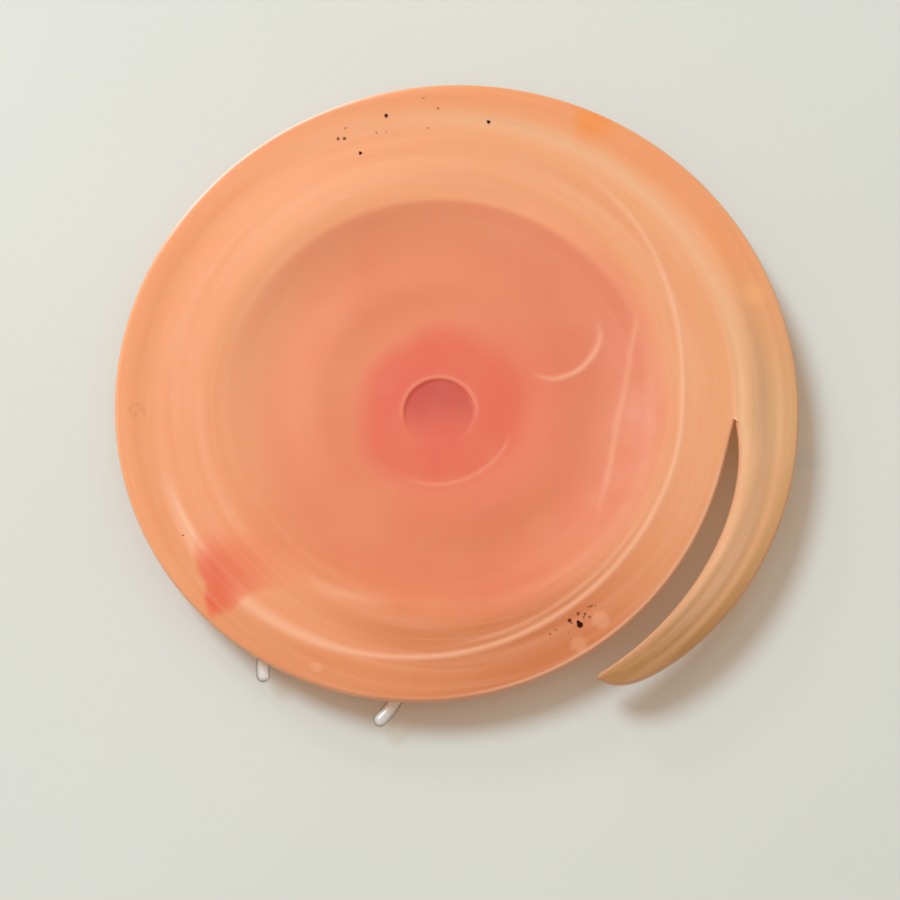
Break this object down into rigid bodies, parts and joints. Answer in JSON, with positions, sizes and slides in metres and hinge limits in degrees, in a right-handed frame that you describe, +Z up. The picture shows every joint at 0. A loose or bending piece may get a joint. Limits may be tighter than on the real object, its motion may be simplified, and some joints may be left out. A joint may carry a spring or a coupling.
{
  "type": "translucent cap",
  "caption": "Small round translucent cap: a shallow dish with a stepped spiral rim, a flexible rim tail beside a tapering slit, and a clear snap clip under the edge.",
  "frame": {"origin": "axis of the dish, on the flat underside that it rests on", "axes": "+Z up along the dish's axis, +X 5 degrees short of the root of the slit, -Y towards the picture's near edge"},
  "size_m": [0.0692, 0.0679, 0.006],
  "materials": {
    "coral": "milky translucent, satin",
    "coral_thick": "milky translucent, satin",
    "coral_core": "milky translucent, satin",
    "clear": "clear, polished"
  },
  "bodies": {
    "cap": {"cap_body": "coral", "centre_collar": "coral_thick", "centre_plug": "coral_core", "rim_gusset": "coral_thick", "clip_saddle": "clear"},
    "tail": {"rim_tail": "coral"},
    "left_jaw": {"clip_jaw_left": "clear"},
    "right_jaw": {"clip_jaw_right": "clear"}
  },
  "joints": [
    {"name": "tail_flex", "type": "hinge", "parent": "cap", "child": "tail", "pos_m": [0.03283, -0.00287, 0.00515], "axis": [-0.9962, 0.0872, 0], "range_deg": [-8, 25], "stiffness_Nm_per_rad": 0.005},
    {"name": "left_jaw_flex", "type": "hinge", "parent": "cap", "child": "left_jaw", "pos_m": [-0.01282, -0.021, 0.0028], "axis": [0, 0, -1], "range_deg": [-3, 12], "stiffness_Nm_per_rad": 0.05},
    {"name": "right_jaw_flex", "type": "hinge", "parent": "cap", "child": "right_jaw", "pos_m": [-0.00418, -0.02425, 0.0028], "axis": [0, 0, 1], "range_deg": [-3, 12], "stiffness_Nm_per_rad": 0.05}
  ]
}
